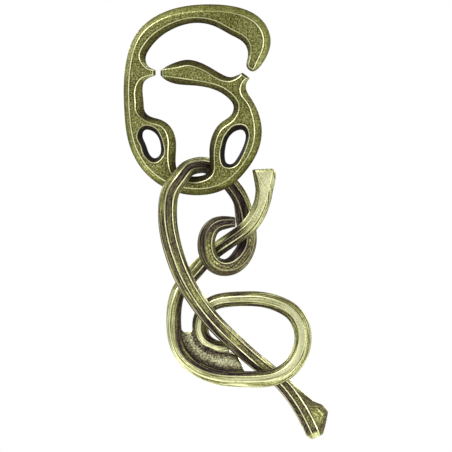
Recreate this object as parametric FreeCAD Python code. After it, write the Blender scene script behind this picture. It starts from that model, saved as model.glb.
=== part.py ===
import FreeCAD, Part
import os

# A cast metal disentanglement puzzle of three linked castings: an open ring plate, a hook bar whose
# crook passes round the foot of the ring and ends in an eye, and a spiral bar whose shank passes
# through the eye and whose loop is threaded by the long leg of the hook.
#
# Millimetres, X to the right, Y away from the front, Z up.  The origin is on the inner edge of the
# ring's top band, half way through its thickness, where the puzzle hangs on a peg.

Vector = FreeCAD.Vector

# Driving dimensions
PLATE_THICKNESS = 4.4     # ring plate, front face to back face
PLATE_RIM = 1.0           # height of the plain rim between the plate's front and back bevels
END_BEVEL = 0.6           # how far the flat face stops short of the plate's blunt ends
BAR_THICKNESS = 3.8       # hook and spiral bars, front flat to back flat
BAR_SIDE = 1.3            # height of a bar's side facet
SECTION_STEP = 1.7        # spacing of the sections along a bar
WEB_THICKNESS = 1.6       # plate cast across the spiral's hollow
WEB_NOTCH_RADIUS = 1.9    # rounded notch in the web's upper edge
WEB_NOTCH = Vector(-3.4, 0, -78.5)   # on the axis of that notch
FUSE_TOLERANCE = 0.001    # for joining the web to the bar

# The ring plate's edge as x, z and the width of the bevel there, in runs that meet at blunt ends.
# The runs go clockwise as seen from the front.
OUTER_EDGE = [
    (13.0, -14.2, 0.4), (12.1, -15.5, 1.0), (12.0, -17.0, 1.6), (13.1, -19.1, 1.6),
    (15.0, -22.6, 1.7), (16.1, -28.1, 1.9), (15.2, -32.9, 1.8), (12.1, -38.2, 1.7),
    (6.5, -43.1, 1.7), (-1.3, -44.7, 1.7), (-8.6, -43.0, 1.6), (-14.3, -38.8, 1.5),
    (-18.1, -32.4, 1.4), (-19.7, -23.0, 1.3), (-19.5, -11.6, 1.3), (-16.2, -2.1, 1.3),
    (-9.1, 3.1, 1.6), (1.3, 5.0, 1.9), (10.4, 4.1, 1.9), (16.1, 1.0, 1.9),
    (18.4, -4.3, 1.9), (17.5, -8.2, 1.7), (15.9, -10.9, 1.4), (15.0, -11.9, 1.0),
    (13.8, -12.5, 0.5), (12.7, -12.1, 0.5), (12.1, -11.3, 0.5), (12.3, -9.2, 0.6),
    (12.4, -7.3, 0.8), (11.7, -5.5, 1.2), (8.0, -3.0, 1.3), (3.6, -0.7, 1.3),
    (-0.5, 0.1, 1.3), (-5.2, -0.7, 1.4), (-9.9, -3.2, 1.6), (-13.2, -6.8, 1.8),
    (-14.1, -9.2, 1.6), (-13.3, -11.2, 0.7), (-11.5, -12.0, 0.2),
]
INNER_EDGE = [
    (-11.5, -13.5, 0.2), (-13.1, -14.1, 0.5), (-14.5, -15.2, 1.2), (-14.9, -17.0, 1.9),
    (-14.6, -20.9, 2.2), (-14.4, -22.5, 2.2), (-13.7, -23.6, 1.7), (-10.4, -24.9, 1.6), (-7.4, -27.2, 1.8),
    (-6.2, -31.1, 2.0), (-6.3, -35.5, 2.0), (-5.6, -38.4, 1.8), (-3.4, -39.5, 1.6),
    (0.0, -39.6, 1.6), (2.0, -38.7, 1.4), (2.5, -36.3, 1.2), (2.4, -32.9, 1.3),
    (3.2, -29.0, 1.4), (5.5, -25.7, 1.5), (8.1, -23.7, 1.4), (8.7, -21.6, 1.4),
    (7.4, -19.5, 1.4), (3.6, -17.2, 1.3), (-1.3, -16.2, 1.3), (-8.0, -15.2, 1.3),
    (-9.5, -14.3, 0.6), (-10.3, -13.5, 0.2),
]
TONGUE_EDGE = [
    (-10.3, -12.2, 0.2), (-8.7, -11.1, 0.8), (-6.2, -10.0, 1.5), (-3.4, -9.4, 1.6),
    (-0.5, -9.9, 1.6), (2.9, -11.5, 1.6), (6.0, -13.3, 1.6), (7.9, -13.9, 1.2),
    (9.5, -13.5, 0.8), (11.0, -12.7, 0.4),
]
# Each window's edge as x, z and the width of the steep bevel there.
LEFT_WINDOW = [
    (-14.4, -27.8, 1.2), (-12.9, -27.8, 1.1), (-11.1, -29.2, 0.8), (-10.2, -31.9, 0.8),
    (-10.6, -34.3, 1.0), (-11.8, -35.0, 1.3), (-13.0, -34.1, 1.4), (-13.9, -31.9, 1.4),
    (-14.5, -30.5, 1.4), (-14.9, -29.3, 1.5),
]
RIGHT_WINDOW = [
    (9.8, -27.8, 1.5), (11.2, -27.8, 1.3), (11.8, -28.8, 0.9), (11.7, -30.5, 0.8),
    (10.7, -33.1, 0.9), (9.4, -35.4, 1.0), (8.2, -36.5, 1.0), (7.0, -36.3, 1.3),
    (6.5, -35.0, 1.3), (6.7, -32.0, 1.2), (7.3, -30.0, 1.2), (8.4, -28.6, 1.3),
]

# The middle line of each bar as x, y, z, with the bar's width and its turn towards the front in
# degrees.  The hook starts at its pointed end and the spiral at its bell-shaped end.
HOOK_LINE = [
    (30.3, 5.0, -107.9, 4.2, 10), (27.8, 5.0, -102.7, 4.2, 10), (23.9, 4.9, -96.5, 4.1, 12),
    (21.1, 5.0, -93.3, 4.0, 12), (16.0, 3.6, -89.1, 4.3, 14), (11.1, 1.2, -84.9, 4.4, 18),
    (6.7, -0.4, -80.8, 4.5, 18), (2.7, -1.2, -76.6, 4.5, 18), (-0.8, -1.8, -72.0, 4.5, 18),
    (-3.8, -2.5, -67.0, 4.7, 18), (-6.0, -3.1, -61.8, 4.8, 17), (-7.5, -3.7, -56.6, 4.9, 14),
    (-8.3, -4.2, -51.6, 4.9, 11), (-8.3, -4.5, -47.2, 4.9, 9), (-7.4, -4.7, -43.3, 4.7, 8),
    (-5.3, -4.7, -40.3, 4.5, 6), (-3.9, -3.6, -38.5, 4.4, 4), (-2.6, -1.5, -37.5, 4.3, 0),
    (-0.8, 0.9, -36.9, 4.3, 0), (1.2, 3.3, -36.8, 4.3, 0), (3.1, 4.7, -37.3, 4.3, 0),
    (5.5, 5.1, -38.8, 4.3, 0), (7.7, 5.1, -41.4, 4.3, 0), (9.4, 5.1, -43.6, 4.3, 0),
    (10.7, 5.1, -46.0, 4.3, -4), (11.4, 5.2, -48.6, 4.7, -9), (11.9, 5.2, -51.7, 5.0, -15),
    (12.5, 5.1, -55.2, 4.6, -23), (12.0, 4.7, -58.3, 5.0, -28), (10.7, 4.0, -60.8, 5.2, -24),
    (8.7, 3.0, -62.8, 4.8, -8), (6.5, 1.9, -63.5, 4.4, 6), (3.9, 0.7, -62.7, 4.4, 15),
    (2.2, -0.2, -60.5, 4.5, 18), (1.6, -0.7, -57.5, 4.5, 18), (2.2, -1.0, -54.5, 4.4, 14),
    (3.9, -1.2, -52.5, 4.0, 8), (6.2, -1.4, -51.8, 3.6, 0), (9.2, -1.4, -51.6, 2.6, 0),
]
SPIRAL_LINE = [
    (16.7, -0.6, -37.8, 6.4, 0), (16.8, -0.5, -40.6, 5.6, 0), (16.7, -0.2, -43.4, 4.6, 0),
    (16.2, 0.0, -46.3, 4.3, 0), (15.0, 0.3, -49.4, 4.3, 0), (13.1, 0.6, -52.3, 4.2, 0),
    (10.4, 1.2, -54.6, 4.0, 0), (6.8, 2.6, -57.1, 4.0, 0), (3.4, 4.0, -59.6, 4.0, 0),
    (1.0, 4.8, -61.8, 4.1, 0), (-1.0, 4.9, -64.1, 4.1, 0), (-3.1, 4.6, -66.4, 4.1, 0),
    (-5.0, 4.1, -68.6, 3.9, 0), (-6.2, 3.5, -71.4, 3.8, 0), (-6.8, 3.1, -75.0, 3.8, 8),
    (-6.8, 2.7, -78.9, 3.8, 14), (-6.2, 2.2, -82.7, 3.9, 18), (-4.2, 1.7, -86.7, 3.9, 20),
    (-0.3, 1.2, -89.9, 4.0, 16), (4.5, 0.8, -91.8, 4.1, 8), (9.6, 0.5, -92.4, 4.2, 0),
    (14.8, 0.2, -92.5, 4.3, -4), (20.0, 0.1, -91.7, 4.4, -8), (23.9, 0.3, -89.1, 4.5, -10),
    (26.3, 0.6, -84.9, 4.5, -10), (26.8, 0.8, -81.2, 4.4, -8), (26.1, 1.0, -78.1, 4.4, -5),
    (24.3, 1.3, -75.3, 4.3, -3), (21.2, 1.6, -73.3, 4.2, 0), (16.1, 2.1, -71.8, 4.0, 0),
    (11.2, 2.6, -71.6, 3.9, 0), (6.8, 3.0, -71.9, 3.9, 0), (3.6, 3.2, -72.7, 3.9, 0),
    (1.4, 3.3, -74.4, 3.9, 0), (0.2, 3.3, -76.8, 4.0, 10), (0.1, 3.3, -79.7, 4.1, 18),
    (1.0, 3.3, -82.2, 4.0, 16), (3.1, 3.4, -83.8, 3.7, 10), (5.5, 3.5, -84.5, 3.4, 5),
    (7.6, 3.5, -84.7, 3.1, 0),
]
# How far the bars' edges move out near their starts, by the distance from the start: the flare and
# the corner of the hook's pointed end and the rounded corner of the spiral's bell-shaped end.
POINT_FLARE = [(0, -0.1), (1.4, 1.1), (4.6, 3.7), (6.7, 3.2), (7.7, 2.3), (8.6, 1.6), (10.9, 0.8), (14, 0)]
POINT_CORNER = [(0, -0.8), (1.4, 0)]
BELL_CORNER = [(0, -1.1), (0.3, -0.55), (0.8, -0.2), (1.6, 0)]
NO_REACH = [(0, 0)]
# Each bar's front flat as a share of its width, by the distance from its start.
HOOK_FLAT = [(0, 0.44), (150, 0.44), (166, 0.54), (190, 0.54)]
SPIRAL_FLAT = [(0, 0.76), (3, 0.58), (9, 0.36), (240, 0.36)]
# Each bar's thickness as a share of its full thickness, by the distance from its start: the bevels
# across those ends.
HOOK_DEPTH = [(0, 0.4), (1.4, 1)]
SPIRAL_DEPTH = [(0, 0.8), (0.8, 1)]

# The web's two long edges as x, y, z: along the spiral's loop and along its inner curl.
WEB_RAILS = [
    ((-7.0, 3.0, -78.4), (0.0, 3.3, -78.4)),
    ((-6.0, 2.6, -83.6), (1.0, 3.0, -82.7)),
    ((-3.6, 2.2, -87.1), (2.6, 2.9, -84.0)),
    ((0.0, 1.8, -89.8), (4.4, 3.0, -84.9)),
    ((6.0, 1.4, -91.9), (6.7, 3.3, -85.3)),
    ((12.3, 1.1, -92.4), (9.8, 3.7, -86.1)),
]


def between(table, position):
    """The value at a position in a table of (position, value) pairs, straight between its rows."""
    for (start, low), (end, high) in zip(table, table[1:]):
        if position <= end:
            return low + (high - low) * (position - start) / (end - start)
    return table[-1][1]


def chord_lengths(points):
    """The distance of each point from the first, along the chords."""
    lengths = [0.0]
    for here, there in zip(points, points[1:]):
        lengths.append(lengths[-1] + here.distanceToPoint(there))
    return lengths


def to_the_right(curve, position):
    """The level direction to the right of a curve that is seen from the front."""
    along = curve.tangent(position)[0]
    return Vector(along.z, 0, -along.x).normalize()


def plate_wire(y, bevelled):
    """The ring plate's outline at depth y: its rim, or the edge of its flat face if bevelled."""
    curves = []
    for run in (OUTER_EDGE, INNER_EDGE, TONGUE_EDGE):
        points = [Vector(x, y, z) for x, z, bevel in run]
        positions = chord_lengths(points)
        curve = Part.BSplineCurve()
        curve.interpolate(Points=points, Parameters=positions)
        if bevelled:
            inset = [
                point + to_the_right(curve, position) * row[2]
                for point, position, row in zip(points, positions, run)
            ]
            inset[0] += curve.tangent(positions[0])[0] * END_BEVEL
            inset[-1] -= curve.tangent(positions[-1])[0] * END_BEVEL
            curve = Part.BSplineCurve()
            curve.interpolate(Points=inset, Parameters=positions)
        curves.append(curve)
    edges = []
    for curve, following in zip(curves, curves[1:] + curves[:1]):
        edges.append(curve.toShape())
        edges.append(Part.LineSegment(curve.EndPoint, following.StartPoint).toShape())
    return Part.Wire(edges)


def window_wire(outline, y, share):
    """A window's outline at depth y, moved outwards by a share of its bevel's width."""
    points = [Vector(x, y, z) for x, z, bevel in outline]
    curve = Part.BSplineCurve()
    curve.interpolate(Points=points, PeriodicFlag=True)
    moved = [
        point - to_the_right(curve, curve.parameter(point)) * row[2] * share
        for point, row in zip(points, outline)
    ]
    curve.interpolate(Points=moved, PeriodicFlag=True)
    return Part.Wire([curve.toShape()])


def window_tool(outline):
    """The solid that cuts one window, a little longer than the plate is thick."""
    rim = PLATE_RIM / 2
    face = PLATE_THICKNESS / 2 + 0.5
    share = (face - rim) / (PLATE_THICKNESS / 2 - rim)
    stations = [(-face, share), (-rim, 0), (rim, 0), (face, share)]
    return Part.makeLoft([window_wire(outline, y, moved) for y, moved in stations], True, True)


def ring_plate():
    """The open ring: a flat casting with bevelled edges, a tongue, a spur and two windows."""
    rim = PLATE_RIM / 2
    face = PLATE_THICKNESS / 2
    stations = [(-face, True), (-rim, False), (rim, False), (face, True)]
    plate = Part.makeLoft([plate_wire(y, bevelled) for y, bevelled in stations], True, True)
    for outline in (LEFT_WINDOW, RIGHT_WINDOW):
        plate = plate.cut(window_tool(outline))
    return plate


def bar(line, flats, depths, left_reach, right_reach):
    """An eight-sided bar along a smooth line; the reaches move its two edges out near its start."""
    points = [Vector(*row[:3]) for row in line]
    lengths = chord_lengths(points)
    curve = Part.BSplineCurve()
    curve.interpolate(Points=points, Parameters=lengths)
    widths = list(zip(lengths, [row[3] for row in line]))
    turns = list(zip(lengths, [row[4] for row in line]))
    positions = [row[0] for row in max(left_reach, right_reach, key=len)]
    count = round((lengths[-1] - positions[-1]) / SECTION_STEP)
    step = (lengths[-1] - positions[-1]) / count
    positions += [positions[-1] + step * (number + 1) for number in range(count)]
    sections = []
    for position in positions:
        middle = curve.value(position)
        along = curve.tangent(position)[0]
        turn = FreeCAD.Rotation(along, between(turns, position))
        side = turn.multVec(along.cross(Vector(0, 1, 0)).normalize())
        back = side.cross(along)
        width = between(widths, position)
        flat = width / 2 * between(flats, position)
        face = min(BAR_THICKNESS, width) / 2 * between(depths, position)
        rise = BAR_SIDE / 2
        left = width / 2 + between(left_reach, position)
        right = width / 2 + between(right_reach, position)
        corners = [
            (left, rise), (flat, face), (-flat, face), (-right, rise),
            (-right, -rise), (-flat, -face), (flat, -face), (left, -rise),
        ]
        ring = [middle + side * a + back * b for a, b in corners]
        sections.append(Part.makePolygon(ring + ring[:1]))
    return Part.makeLoft(sections, True, True)


def web():
    """The thin plate across the hollow between the spiral's loop and its inner curl."""
    half = Vector(0, WEB_THICKNESS / 2, 0)
    sections = []
    for outer, inner in WEB_RAILS:
        under_loop = Vector(*outer)
        under_curl = Vector(*inner)
        ring = [under_loop - half, under_curl - half, under_curl + half, under_loop + half]
        sections.append(Part.makePolygon(ring + ring[:1]))
    notch = Part.makeCylinder(WEB_NOTCH_RADIUS, BAR_THICKNESS * 2, WEB_NOTCH, Vector(0, 1, 0))
    return Part.makeLoft(sections, True, True).cut(notch)


def hook_bar():
    """The long bar with its crook, its eye and its flared point."""
    return bar(HOOK_LINE, HOOK_FLAT, HOOK_DEPTH, POINT_CORNER, POINT_FLARE)


def spiral_bar():
    """The shank, loop and inner curl, with the web between loop and curl."""
    casting = bar(SPIRAL_LINE, SPIRAL_FLAT, SPIRAL_DEPTH, BELL_CORNER, NO_REACH)
    return casting.fuse((web(),), FUSE_TOLERANCE)


os.makedirs("parts", exist_ok=True)
for name, make in (("ring_plate", ring_plate), ("hook_bar", hook_bar), ("spiral_bar", spiral_bar)):
    casting = make()
    casting.exportStep("parts/" + name + ".step")
    print(name, casting.isValid(), round(casting.Volume), casting.BoundBox)
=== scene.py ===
import math

import bpy
import numpy as np
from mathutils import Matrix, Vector, kdtree, noise
from mathutils.geometry import delaunay_2d_cdt


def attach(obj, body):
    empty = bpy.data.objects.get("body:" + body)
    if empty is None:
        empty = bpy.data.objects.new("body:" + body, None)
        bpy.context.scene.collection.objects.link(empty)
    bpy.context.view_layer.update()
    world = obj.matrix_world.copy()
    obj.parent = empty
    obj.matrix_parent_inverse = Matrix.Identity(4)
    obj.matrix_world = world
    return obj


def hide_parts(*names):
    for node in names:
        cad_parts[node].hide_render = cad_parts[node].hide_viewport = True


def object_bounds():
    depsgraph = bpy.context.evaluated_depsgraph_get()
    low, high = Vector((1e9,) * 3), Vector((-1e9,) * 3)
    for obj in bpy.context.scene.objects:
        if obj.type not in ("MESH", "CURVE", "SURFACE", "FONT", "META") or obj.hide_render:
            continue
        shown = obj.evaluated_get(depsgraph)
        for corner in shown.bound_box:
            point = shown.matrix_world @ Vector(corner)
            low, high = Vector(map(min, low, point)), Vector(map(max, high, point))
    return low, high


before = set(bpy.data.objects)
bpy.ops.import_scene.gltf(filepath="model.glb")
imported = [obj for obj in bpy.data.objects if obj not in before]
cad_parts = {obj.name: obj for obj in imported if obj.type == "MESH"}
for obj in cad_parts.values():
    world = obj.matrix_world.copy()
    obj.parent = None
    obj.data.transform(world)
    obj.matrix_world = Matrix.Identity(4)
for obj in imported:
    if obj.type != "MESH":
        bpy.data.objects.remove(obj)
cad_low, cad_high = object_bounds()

# Three linked brass castings.  Lengths are in millimetres until a mesh is made.  X runs to the
# right, Y away from the front and Z up.
MM = 0.001

# The castings' sizes, as in the frame
PLATE_THICKNESS = 4.4
PLATE_RIM = 1.0           # thickness of the ring plate at its edges
END_BEVEL = 0.6           # width of the bevels across its blunt ends
BAR_THICKNESS = 3.8
BAR_SIDE = 1.3            # height of a bar's upright sides
WEB_THICKNESS = 1.6
WEB_NOTCH_RADIUS = 1.9
WEB_NOTCH_X = -3.4

# Mesh sizes
PLATE_STEP = 0.26         # spacing of the points on the ring plate
NET_MARGIN = 0.62         # how near its net comes to its outlines, as a share of that spacing
NET_TOLERANCE = 1e-6
WINDOW_WRAP = 4           # rows of a window's edge repeated before its start and after its end
PLATE_ROUNDS = 2          # rounds of smoothing that soften the plate's arrises
# Where the plate's bevels have points, from rim to flat.
BEVEL_SHARES = (0.0, 0.1, 0.24, 0.4, 0.56, 0.72, 0.86, 0.94, 1.0)
BAR_STEP = 0.3            # spacing of the sections along a bar
ARRIS_ROUND = 0.2         # how far from a bar's arris its rounding starts
ROUND_SHARE = 0.3         # the most of a narrow facet that one rounding takes
FAR = 9.0                 # an arris distance that counts as none

# The relief on the faces
GRAIN = 0.035             # height of the sand-cast grain on flat faces
HAND = 0.03               # height of the unevenness from hand work
RELIEF_DROP = 0.02        # how far the faces are sunk, to keep the relief inside the frame
FINE_SHARE = 0.6          # the grain's fine bumps; the rest of its height is in coarse bumps
GRAIN_FADE = 0.5          # the grain fades out this near to an arris
# The widths of the fine bumps, coarse bumps and unevenness, on the plate and on the bars.
PLATE_BUMPS = (0.62, 1.3, 7.0)
BAR_BUMPS = (0.6, 1.2, 6.0)
# Where each piece's relief starts in the noise, and the steps between starts.
SEED_STEPS = (31.7, 12.3, 7.9)
RING_SEED = 1
HOOK_SEED = 5
SPIRAL_SEED = 9
WEB_SEED = 13

# The ring plate's edge as x, z and the width of the bevel there.  Clockwise seen from the front.
OUTER_EDGE = [
    (13.0, -14.2, 0.4), (12.1, -15.5, 1.0), (12.0, -17.0, 1.6), (13.1, -19.1, 1.6),
    (15.0, -22.6, 1.7), (16.1, -28.1, 1.9), (15.2, -32.9, 1.8), (12.1, -38.2, 1.7),
    (6.5, -43.1, 1.7), (-1.3, -44.7, 1.7), (-8.6, -43.0, 1.6), (-14.3, -38.8, 1.5),
    (-18.1, -32.4, 1.4), (-19.7, -23.0, 1.3), (-19.5, -11.6, 1.3), (-16.2, -2.1, 1.3),
    (-9.1, 3.1, 1.6), (1.3, 5.0, 1.9), (10.4, 4.1, 1.9), (16.1, 1.0, 1.9),
    (18.4, -4.3, 1.9), (17.5, -8.2, 1.7), (15.9, -10.9, 1.4), (15.0, -11.9, 1.0),
    (13.8, -12.5, 0.5), (12.7, -12.1, 0.5), (12.1, -11.3, 0.5), (12.3, -9.2, 0.6),
    (12.4, -7.3, 0.8), (11.7, -5.5, 1.2), (8.0, -3.0, 1.3), (3.6, -0.7, 1.3),
    (-0.5, 0.1, 1.3), (-5.2, -0.7, 1.4), (-9.9, -3.2, 1.6), (-13.2, -6.8, 1.8),
    (-14.1, -9.2, 1.6), (-13.3, -11.2, 0.7), (-11.5, -12.0, 0.2),
]
INNER_EDGE = [
    (-11.5, -13.5, 0.2), (-13.1, -14.1, 0.5), (-14.5, -15.2, 1.2), (-14.9, -17.0, 1.9),
    (-14.6, -20.9, 2.2), (-14.4, -22.5, 2.2), (-13.7, -23.6, 1.7), (-10.4, -24.9, 1.6),
    (-7.4, -27.2, 1.8), (-6.2, -31.1, 2.0), (-6.3, -35.5, 2.0), (-5.6, -38.4, 1.8),
    (-3.4, -39.5, 1.6), (0.0, -39.6, 1.6), (2.0, -38.7, 1.4), (2.5, -36.3, 1.2), (2.4, -32.9, 1.3),
    (3.2, -29.0, 1.4), (5.5, -25.7, 1.5), (8.1, -23.7, 1.4), (8.7, -21.6, 1.4), (7.4, -19.5, 1.4),
    (3.6, -17.2, 1.3), (-1.3, -16.2, 1.3), (-8.0, -15.2, 1.3), (-9.5, -14.3, 0.6),
    (-10.3, -13.5, 0.2),
]
TONGUE_EDGE = [
    (-10.3, -12.2, 0.2), (-8.7, -11.1, 0.8), (-6.2, -10.0, 1.5), (-3.4, -9.4, 1.6),
    (-0.5, -9.9, 1.6), (2.9, -11.5, 1.6), (6.0, -13.3, 1.6), (7.9, -13.9, 1.2),
    (9.5, -13.5, 0.8), (11.0, -12.7, 0.4),
]
# Each window's edge as x, z and the width of the steep bevel there.
LEFT_WINDOW = [
    (-14.4, -27.8, 1.2), (-12.9, -27.8, 1.1), (-11.1, -29.2, 0.8), (-10.2, -31.9, 0.8),
    (-10.6, -34.3, 1.0), (-11.8, -35.0, 1.3), (-13.0, -34.1, 1.4), (-13.9, -31.9, 1.4),
    (-14.5, -30.5, 1.4), (-14.9, -29.3, 1.5),
]
RIGHT_WINDOW = [
    (9.8, -27.8, 1.5), (11.2, -27.8, 1.3), (11.8, -28.8, 0.9), (11.7, -30.5, 0.8),
    (10.7, -33.1, 0.9), (9.4, -35.4, 1.0), (8.2, -36.5, 1.0), (7.0, -36.3, 1.3),
    (6.5, -35.0, 1.3), (6.7, -32.0, 1.2), (7.3, -30.0, 1.2), (8.4, -28.6, 1.3),
]

# The middle line of each bar as x, y, z, with the bar's width and its turn towards the front in
# degrees.  The hook starts at its pointed end and the spiral at its bell-shaped end.
HOOK_LINE = [
    (30.3, 5.0, -107.9, 4.2, 10), (27.8, 5.0, -102.7, 4.2, 10), (23.9, 4.9, -96.5, 4.1, 12),
    (21.1, 5.0, -93.3, 4.0, 12), (16.0, 3.6, -89.1, 4.3, 14), (11.1, 1.2, -84.9, 4.4, 18),
    (6.7, -0.4, -80.8, 4.5, 18), (2.7, -1.2, -76.6, 4.5, 18), (-0.8, -1.8, -72.0, 4.5, 18),
    (-3.8, -2.5, -67.0, 4.7, 18), (-6.0, -3.1, -61.8, 4.8, 17), (-7.5, -3.7, -56.6, 4.9, 14),
    (-8.3, -4.2, -51.6, 4.9, 11), (-8.3, -4.5, -47.2, 4.9, 9), (-7.4, -4.7, -43.3, 4.7, 8),
    (-5.3, -4.7, -40.3, 4.5, 6), (-3.9, -3.6, -38.5, 4.4, 4), (-2.6, -1.5, -37.5, 4.3, 0),
    (-0.8, 0.9, -36.9, 4.3, 0), (1.2, 3.3, -36.8, 4.3, 0), (3.1, 4.7, -37.3, 4.3, 0),
    (5.5, 5.1, -38.8, 4.3, 0), (7.7, 5.1, -41.4, 4.3, 0), (9.4, 5.1, -43.6, 4.3, 0),
    (10.7, 5.1, -46.0, 4.3, -4), (11.4, 5.2, -48.6, 4.7, -9), (11.9, 5.2, -51.7, 5.0, -15),
    (12.5, 5.1, -55.2, 4.6, -23), (12.0, 4.7, -58.3, 5.0, -28), (10.7, 4.0, -60.8, 5.2, -24),
    (8.7, 3.0, -62.8, 4.8, -8), (6.5, 1.9, -63.5, 4.4, 6), (3.9, 0.7, -62.7, 4.4, 15),
    (2.2, -0.2, -60.5, 4.5, 18), (1.6, -0.7, -57.5, 4.5, 18), (2.2, -1.0, -54.5, 4.4, 14),
    (3.9, -1.2, -52.5, 4.0, 8), (6.2, -1.4, -51.8, 3.6, 0), (9.2, -1.4, -51.6, 2.6, 0),
]
SPIRAL_LINE = [
    (16.7, -0.6, -37.8, 6.4, 0), (16.8, -0.5, -40.6, 5.6, 0), (16.7, -0.2, -43.4, 4.6, 0),
    (16.2, 0.0, -46.3, 4.3, 0), (15.0, 0.3, -49.4, 4.3, 0), (13.1, 0.6, -52.3, 4.2, 0),
    (10.4, 1.2, -54.6, 4.0, 0), (6.8, 2.6, -57.1, 4.0, 0), (3.4, 4.0, -59.6, 4.0, 0),
    (1.0, 4.8, -61.8, 4.1, 0), (-1.0, 4.9, -64.1, 4.1, 0), (-3.1, 4.6, -66.4, 4.1, 0),
    (-5.0, 4.1, -68.6, 3.9, 0), (-6.2, 3.5, -71.4, 3.8, 0), (-6.8, 3.1, -75.0, 3.8, 8),
    (-6.8, 2.7, -78.9, 3.8, 14), (-6.2, 2.2, -82.7, 3.9, 18), (-4.2, 1.7, -86.7, 3.9, 20),
    (-0.3, 1.2, -89.9, 4.0, 16), (4.5, 0.8, -91.8, 4.1, 8), (9.6, 0.5, -92.4, 4.2, 0),
    (14.8, 0.2, -92.5, 4.3, -4), (20.0, 0.1, -91.7, 4.4, -8), (23.9, 0.3, -89.1, 4.5, -10),
    (26.3, 0.6, -84.9, 4.5, -10), (26.8, 0.8, -81.2, 4.4, -8), (26.1, 1.0, -78.1, 4.4, -5),
    (24.3, 1.3, -75.3, 4.3, -3), (21.2, 1.6, -73.3, 4.2, 0), (16.1, 2.1, -71.8, 4.0, 0),
    (11.2, 2.6, -71.6, 3.9, 0), (6.8, 3.0, -71.9, 3.9, 0), (3.6, 3.2, -72.7, 3.9, 0),
    (1.4, 3.3, -74.4, 3.9, 0), (0.2, 3.3, -76.8, 4.0, 10), (0.1, 3.3, -79.7, 4.1, 18),
    (1.0, 3.3, -82.2, 4.0, 16), (3.1, 3.4, -83.8, 3.7, 10), (5.5, 3.5, -84.5, 3.4, 5),
    (7.6, 3.5, -84.7, 3.1, 0),
]
# How far the bars' edges move out near their starts, by the distance from the start: the flare and
# the corner of the hook's pointed end, and the rounded corner of the spiral's bell-shaped end.
POINT_FLARE = [
    (0, -0.1), (1.4, 1.1), (4.6, 3.7), (6.7, 3.2), (7.7, 2.3), (8.6, 1.6), (10.9, 0.8), (14, 0),
]
POINT_CORNER = [(0, -0.8), (1.4, 0)]
BELL_CORNER = [(0, -1.1), (0.3, -0.55), (0.8, -0.2), (1.6, 0)]
NO_REACH = [(0, 0)]
# Each bar's front flat as a share of its width, by the distance from its start.
HOOK_FLAT = [(0, 0.44), (150, 0.44), (166, 0.54), (190, 0.54)]
SPIRAL_FLAT = [(0, 0.76), (3, 0.58), (9, 0.36), (240, 0.36)]
# Each bar's thickness as a share of its full thickness, by the distance from its start: the bevels
# across those ends.
HOOK_DEPTH = [(0, 0.4), (1.4, 1)]
SPIRAL_DEPTH = [(0, 0.8), (0.8, 1)]

# The web's two long edges: along the spiral's loop and along its inner curl.
WEB_RAILS = [
    ((-7.0, 3.0, -78.4), (0.0, 3.3, -78.4)),
    ((-6.0, 2.6, -83.6), (1.0, 3.0, -82.7)),
    ((-3.6, 2.2, -87.1), (2.6, 2.9, -84.0)),
    ((0.0, 1.8, -89.8), (4.4, 3.0, -84.9)),
    ((6.0, 1.4, -91.9), (6.7, 3.3, -85.3)),
    ((12.3, 1.1, -92.4), (9.8, 3.7, -86.1)),
]

# Finishes.  Patina goes from 0, rubbed bright, to 1, nearly black, and sand from 0, smooth, to 1,
# fully grained.  The patina values also hold painted shade: they are set darker where another piece
# shades the metal, in concave corners, and on facets turned away from the light.  On the ring
# plate's bevels, by row of each run of its edge, counted from 0: the patina with that painted
# shade, and how bright the arris is.
OUTER_FINISH = [
    (0, 0.42, 1.0), (2, 0.48, 0.9), (4, 0.54, 0.7), (6, 0.57, 0.6), (8, 0.60, 0.3),
    (10, 0.56, 0.5), (12, 0.46, 0.9), (14, 0.42, 1.0), (15, 0.46, 0.5), (16, 0.50, 0.15),
    (17, 0.52, 0.08), (18, 0.50, 0.2), (19, 0.46, 0.9), (20, 0.44, 1.0), (23, 0.44, 1.0),
    (24, 0.56, 0.5), (26, 0.58, 0.6), (28, 0.70, 0.45), (30, 0.74, 0.35), (32, 0.74, 0.3),
    (34, 0.72, 0.5), (36, 0.66, 0.8), (38, 0.38, 1.0),
]
INNER_FINISH = [
    (0, 0.40, 1.0), (2, 0.58, 0.8), (3, 0.56, 0.9), (4, 0.64, 0.9), (5, 0.80, 0.5), (6, 0.95, 0.3),
    (7, 0.60, 0.8), (9, 0.54, 0.9), (11, 0.68, 0.7), (13, 0.80, 0.5), (15, 0.84, 0.6),
    (17, 0.64, 0.6), (18, 0.56, 0.6), (19, 0.66, 0.6), (20, 0.78, 0.5), (22, 0.70, 0.5),
    (24, 0.74, 0.5), (25, 0.68, 0.5), (26, 0.52, 0.8),
]
TONGUE_FINISH = [(0, 0.52, 0.7), (2, 0.74, 0.5), (5, 0.74, 0.4), (8, 0.66, 0.8), (9, 0.44, 1.0)]
BLUNT_END = (0.64, 0.7)
WINDOW_FINISH = (1.0, 0.6)
FLAT_PATINA = 0.56
FLAT_SAND = 1.0
ARRIS_SAND = 0.6
BEVEL_SAND = 0.5          # at a bevel's inner edge
RIM_SAND = 0.35           # at its outer edge
RIM_SHADE = 0.24          # how much darker a bevel is at its outer edge than at its inner edge
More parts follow.
